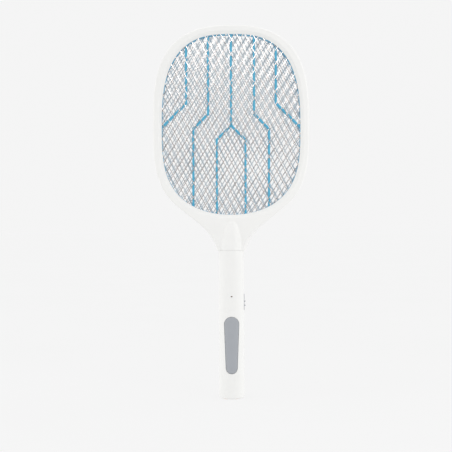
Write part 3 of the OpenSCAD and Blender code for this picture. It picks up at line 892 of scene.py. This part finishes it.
# Each mesh: name, its middle in depth, its turn in degrees, where a crossing lies, and its node
MESHES = [("front_wires", front_y, -1.9, (-3.4, -1.1), "front_guard_mesh"),
          ("live_wires", 0.0, -3.8, (1.0, 3.8), "live_mesh"),
          ("rear_wires", -front_y, -2.1, (1.9, -1.7), "rear_guard_mesh")]
wire_pieces = []
for name, y, turn, offset, node in MESHES:
    radius, metal = (FRONT_WIRE_R, front_metal) if y < 0 else (REAR_WIRE_R, rear_metal)
    wires = wire_mesh(name, y, turn, offset, radius, metal)
    wire_pieces.append(settle(wires, "racket", "mesh_wire", node))


# ---------------------------------------------------------------- handle shells

SHELL_WALL = 2.2
BASE_ROUND = 2.2
# Round sides of the way for the end pad, and the thickness of the floor round it
PAD_WAY_R = 13.15
FLOOR = 1.6
# Cuts through a shell's front start and end at these depths
OUTSIDE_Y = -20
INSIDE_Y = -8


def handle_profile():
    """(radius, z) pairs round a shell's wall: round the base, up the outside and down the inside."""
    base = shell_low[2]
    arc = [(HANDLE_R - BASE_ROUND + BASE_ROUND * cos(t), base + BASE_ROUND + BASE_ROUND * sin(t))
           for t in np.radians(np.linspace(-90, 0, 11))]
    heights = np.linspace(base + BASE_ROUND, JOINT_Z - 0.55, 90)[1:]
    outside = arc + [(HANDLE_R, z) for z in heights]
    lip = [(HANDLE_R - 0.06, JOINT_Z - 0.3), (HANDLE_R - 0.2, JOINT_Z - 0.14),
           (HANDLE_R - 0.45, JOINT_Z - JOINT_GAP), (HANDLE_R - SHELL_WALL, JOINT_Z - JOINT_GAP)]
    inside = [(HANDLE_R - SHELL_WALL, base + FLOOR), (PAD_WAY_R, base + FLOOR), (PAD_WAY_R, base)]
    return outside + lip + inside


def handle_shell(name, side):
    """Front (side -1) or rear (side 1) half of the handle, a closed solid without its cut-outs."""
    profile = handle_profile()
    count = 90
    start, end = (pi, 2 * pi) if side < 0 else (0, pi)
    angles = np.linspace(start, end, count)
    shift = FLAT * np.clip(np.cos(angles) * 25, -1, 1)
    rows = []
    for radius, z in profile:
        y = radius * np.sin(angles)
        y = np.minimum(y, -SEAM) if side < 0 else np.maximum(y, SEAM)
        rows.append(np.stack([radius * np.cos(angles) + shift, y, np.full(count, z)], 1))
    verts = np.concatenate(rows)
    faces = grid_faces(len(profile), count, True, False)
    size = len(profile)
    faces.append(tuple(i * count for i in range(size)))
    faces.append(tuple(i * count + count - 1 for i in reversed(range(size))))
    return mesh_piece(name, verts, faces, white_plastic)


def prism(name, outline, y0, y1):
    """Closed solid from an outline in x and z, along Y."""
    count = len(outline)
    verts = [(x, y0, z) for x, z in outline] + [(x, y1, z) for x, z in outline]
    faces = grid_faces(2, count, False, True)
    faces.append(tuple(range(count)))
    faces.append(tuple(range(2 * count - 1, count - 1, -1)))
    return mesh_piece(name, verts, faces, white_plastic)


def block(name, low, high):
    """Closed box between two corners."""
    corners = [(low[0], low[2]), (high[0], low[2]), (high[0], high[2]), (low[0], high[2])]
    return prism(name, corners, low[1], high[1])


KEY_W_TOP = key_high[0] * 2
KEY_W_LOW = 15.6


def key_outline(extra, count=24):
    """Outline of the tapered key, and the point of its middle line behind each outline point."""
    r1, r0 = KEY_W_TOP / 2, KEY_W_LOW / 2
    c1, c0 = key_high[2] - r1, key_low[2] + r0
    lean = np.arcsin((r1 - r0) / (c1 - c0))
    top = np.linspace(-lean, pi + lean, count)
    low = np.linspace(pi + lean, 2 * pi - lean, count)
    upper = [((r1 + extra) * cos(t), c1 + (r1 + extra) * sin(t)) for t in top]
    lower = [((r0 + extra) * cos(t), c0 + (r0 + extra) * sin(t)) for t in low]
    steps = 30

    def between(start, end):
        return [np.array(start) + (np.array(end) - start) * i / steps for i in range(1, steps)]

    outline = np.array(upper + between(upper[-1], lower[0]) + lower + between(lower[-1], upper[0]))
    middle = np.array([(0, c1)] * count + [(0, c1 + (c0 - c1) * i / steps) for i in range(1, steps)]
                      + [(0, c0)] * count + [(0, c0 + (c1 - c0) * i / steps) for i in range(1, steps)])
    return outline, middle


KEY_GAP = 0.35
KNOB_TRAVEL = 4.0
KNOB_GAP = 0.3
KNOB_HALF_D = 3.7
POCKET_X = 16.4
STEM_HALF_D = 1.4
STEM_LOW_Z = 128.8
STEM_HIGH_Z = 132.8
TAB_GAP = 0.1
# Anywhere past the handle's outside
PAST_SIDE = 20
LENS_Z = 141.2
LENS_R = 0.75
LENS_STRETCH = 0.5


def knob_pocket():
    """What the shells leave out for the knob and its travel."""
    return block("pocket", (POCKET_X, -KNOB_HALF_D - KNOB_GAP, knob_low[2] - KNOB_GAP),
                 (PAST_SIDE, KNOB_HALF_D + KNOB_GAP, knob_high[2] + KNOB_TRAVEL + KNOB_GAP))


def stem_slot():
    """What the shells leave out for the knob's stem and its travel."""
    return block("slot", (12, -STEM_HALF_D - KNOB_GAP, STEM_LOW_Z - KNOB_GAP),
                 (PAST_SIDE, STEM_HALF_D + KNOB_GAP, STEM_HIGH_Z + KNOB_TRAVEL + KNOB_GAP))


def tab_seats(shell):
    """Cuts the seats of the cover's side tabs into a shell's top."""
    for side in (-1, 1):
        x0, x1 = sorted((side * (TAB_X - TAB_GAP), side * PAST_SIDE))
        cut(shell, block("seat", (x0, -PAST_SIDE, TAB_Z - TAB_GAP), (x1, PAST_SIDE, JOINT_Z + 3)))


def lens_outline():
    """Round window of the lens, drawn out a little across the handle."""
    turn = np.linspace(0.01, 2 * pi, 28, endpoint=False)
    return [(LENS_STRETCH * np.sign(cos(t)) + LENS_R * cos(t), LENS_Z + LENS_R * sin(t)) for t in turn]


front_shell = handle_shell("front_shell", -1)
tab_seats(front_shell)
cut(front_shell, prism("key_way", key_outline(KEY_GAP)[0], OUTSIDE_Y, INSIDE_Y))
cut(front_shell, prism("lens_way", lens_outline(), OUTSIDE_Y, INSIDE_Y))
cut(front_shell, knob_pocket())
cut(front_shell, stem_slot())
settle(front_shell, "racket", "white_plastic", "handle_front_shell")

rear_shell = handle_shell("rear_shell", 1)
tab_seats(rear_shell)
cut(rear_shell, knob_pocket())
cut(rear_shell, stem_slot())
GRIP_WELL_R = 2.1
GRIP_WELL_DEPTH = 2.6
wells = rods(handle_screw_spots, GRIP_WELL_R, HANDLE_R - GRIP_WELL_DEPTH, HANDLE_R + 3)
cut(rear_shell, mesh_piece("grip_wells", wells.verts, wells.faces, white_plastic))
settle(rear_shell, "racket", "white_plastic", "handle_rear_shell")


# ---------------------------------------------------------------- press key and slide knob

KEY_PROUD = 0.5
KEY_DEPTH = 2.5
KEY_FLAT_FROM = 1.2
# The key's rounded edge: inset from its outline, and drop below its face
KEY_EDGE = [(0.0, 1.0), (0.05, 0.68), (0.18, 0.42), (0.42, 0.2), (0.75, 0.07), (KEY_FLAT_FROM, 0.0)]


def press_key():
    """Curved, tapered key: crowned face, rounded edge, and a wall that dips into the handle."""
    proud = HANDLE_R + KEY_PROUD
    outline, middle = key_outline(0)
    rows = []

    def add(points, drop):
        y = -(handle_depth(points[:, 0], proud) - drop)
        rows.append(np.stack([points[:, 0], y, points[:, 1]], 1))

    toward = middle - outline
    reach = np.linalg.norm(toward, axis=1)[:, None]
    for share in np.linspace(1, 0, 8):
        add(outline + toward * share, KEY_DEPTH)
    for inset, drop in KEY_EDGE:
        add(outline + toward / reach * inset, drop)
    start = outline + toward / reach * KEY_FLAT_FROM
    for share in np.linspace(0, 1, 12)[1:]:
        add(start + (middle - start) * share, 0.0)
    verts = np.concatenate(rows)
    faces = grid_faces(len(rows), len(outline), False, True)
    return mesh_piece("grey_key", verts, faces, key_plastic)


settle(press_key(), "key", "grey_plastic", "press_key")


def rounded_block(low, high, radius):
    """Closed block with rounded edges, for joining into a larger piece."""
    piece = block("part", low, high)
    soften(piece, radius, 3)
    return piece


KNOB_X = (16.5, 17.9)
STEM_X = (14.3, 16.8)
RIDGE_ZS = (128.1, 133.8)
RIDGE_HALF_W = 0.55
RIDGE_HALF_D = 3.1
RIDGE_LOW_X = 17.4
knob = rounded_block((KNOB_X[0], -KNOB_HALF_D, knob_low[2]), (KNOB_X[1], KNOB_HALF_D, knob_high[2]), 0.45)
knob.name = "slide_knob"
knob.data.name = "slide_knob"
extras = [rounded_block((STEM_X[0], -STEM_HALF_D, STEM_LOW_Z), (STEM_X[1], STEM_HALF_D, STEM_HIGH_Z), 0.1)]
for ridge in RIDGE_ZS:
    extras.append(rounded_block((RIDGE_LOW_X, -RIDGE_HALF_D, ridge - RIDGE_HALF_W),
                                (knob_high[0], RIDGE_HALF_D, ridge + RIDGE_HALF_W), 0.4))
join(knob, extras)
knob.data.materials.clear()
knob.data.materials.append(key_plastic)
smooth(knob, 40)
settle(knob, "slider", "grey_plastic", "power_slide_knob")


# ---------------------------------------------------------------- floor, light and camera

# What the camera sees of the room
PALE = 0.911
# Light of the room, how much dimmer it is ahead and behind, and its slopes to the right and upwards
ROOM = 1.205
ROOM_DIM = 0.84
ROOM_RIGHT = -0.035
ROOM_HIGH = 0.05
FLOOR_R = 30
FLOOR_GLOW = 0.755


def studio_world():
    """Pale room that is dimmer ahead and behind than at the sides, and brighter above."""
    world = bpy.data.worlds.new("studio")
    bpy.context.scene.world = world
    world.use_nodes = True
    nodes, links = world.node_tree.nodes, world.node_tree.links

    def calculate(operation, first, second):
        node = nodes.new("ShaderNodeMath")
        node.operation = operation
        for socket, value in zip(node.inputs, (first, second)):
            if isinstance(value, float):
                socket.default_value = value
            else:
                links.new(value, socket)
        return node.outputs[0]

    place = nodes.new("ShaderNodeTexCoord")
    split = nodes.new("ShaderNodeSeparateXYZ")
    links.new(place.outputs["Generated"], split.inputs[0])
    x, y, z = split.outputs
    light = calculate("SUBTRACT", ROOM, calculate("MULTIPLY", calculate("MULTIPLY", y, y), ROOM_DIM))
    light = calculate("ADD", light, calculate("MULTIPLY", x, ROOM_RIGHT))
    light = calculate("ADD", light, calculate("MULTIPLY", z, ROOM_HIGH))
    path = nodes.new("ShaderNodeLightPath")
    seen = nodes.new("ShaderNodeMix")
    seen.data_type = "FLOAT"
    links.new(path.outputs["Is Camera Ray"], seen.inputs["Factor"])
    links.new(light, seen.inputs["A"])
    seen.inputs["B"].default_value = PALE
    links.new(seen.outputs["Result"], nodes["Background"].inputs["Strength"])
    nodes["Background"].inputs["Color"].default_value = (1, 1, 1, 1)


def studio_floor():
    """Plain pale floor that glows a little, so that it has no hard horizon."""
    bpy.ops.mesh.primitive_circle_add(vertices=96, radius=FLOOR_R, fill_type="NGON", location=(0, 0, 0))
    floor = bpy.context.object
    floor.name = "studio_floor"
    pale = node_material("pale_floor", (0.15, 0.15, 0.15), 0.9, spread=0.02, scale=3, bump=0.0,
                         specular=0.0)
    shader = pale.node_tree.nodes["Principled BSDF"]
    shader.inputs["Emission Color"].default_value = (1, 1, 1, 1)
    shader.inputs["Emission Strength"].default_value = FLOOR_GLOW
    floor.data.materials.append(pale)


def area_light(name, place, target, size, power, tilt=0.0):
    """Rectangular lamp aimed at a target, turned about its own axis by tilt degrees."""
    data = bpy.data.lights.new(name, "AREA")
    data.shape = "RECTANGLE"
    data.size, data.size_y = size
    data.energy = power
    lamp = bpy.data.objects.new(name, data)
    lamp.location = place
    aim = (Vector(target) - Vector(place)).to_track_quat("-Z", "Y")
    lamp.rotation_euler = (aim @ Quaternion((0, 0, 1), radians(tilt))).to_euler()
    bpy.context.scene.collection.objects.link(lamp)
    return lamp


def camera():
    """Long lens straight in front of the swatter, level with the neck."""
    distance = 1.25
    eye_x, eye_z = -0.0074, 0.2382
    roll = 0.15
    frame_w = 0.628
    sensor = 36.0
    data = bpy.data.cameras.new("camera")
    data.sensor_width = sensor
    data.lens = sensor * distance / frame_w
    data.clip_end = 100
    eye = bpy.data.objects.new("camera", data)
    eye.location = (eye_x, -distance, eye_z)
    eye.rotation_euler = (pi / 2, radians(roll), 0)
    bpy.context.scene.collection.objects.link(eye)
    bpy.context.scene.camera = eye


studio_world()
studio_floor()
SOFT_SIZE = (0.5, 0.5)
SOFT_TARGET = (0, 0, 0.3)
area_light("right_soft", (0.7, -0.75, 0.55), SOFT_TARGET, SOFT_SIZE, 1.27)
area_light("left_soft", (-0.9, -0.35, 0.45), SOFT_TARGET, SOFT_SIZE, 0.4)
# Two crossed strips that only the front wires see: each makes one set of them glint near the top
STRIP_PLACE = (0, -2.0, 1.036)
STRIP_TARGET = (0, 0, 0.5)
STRIP_SIZE = (6.0, 0.15)
STRIP_POWER = 28.0
glinting = bpy.data.collections.new("glinting_wires")
bpy.context.scene.collection.children.link(glinting)
glinting.objects.link(wire_pieces[0])
for name, tilt in (("left_strip", -30), ("right_strip", 30)):
    strip = area_light(name, STRIP_PLACE, STRIP_TARGET, STRIP_SIZE, STRIP_POWER, tilt)
    strip.light_linking.receiver_collection = glinting
camera()
bpy.context.scene.view_settings.view_transform = "Standard"
bpy.context.scene.view_settings.look = "None"
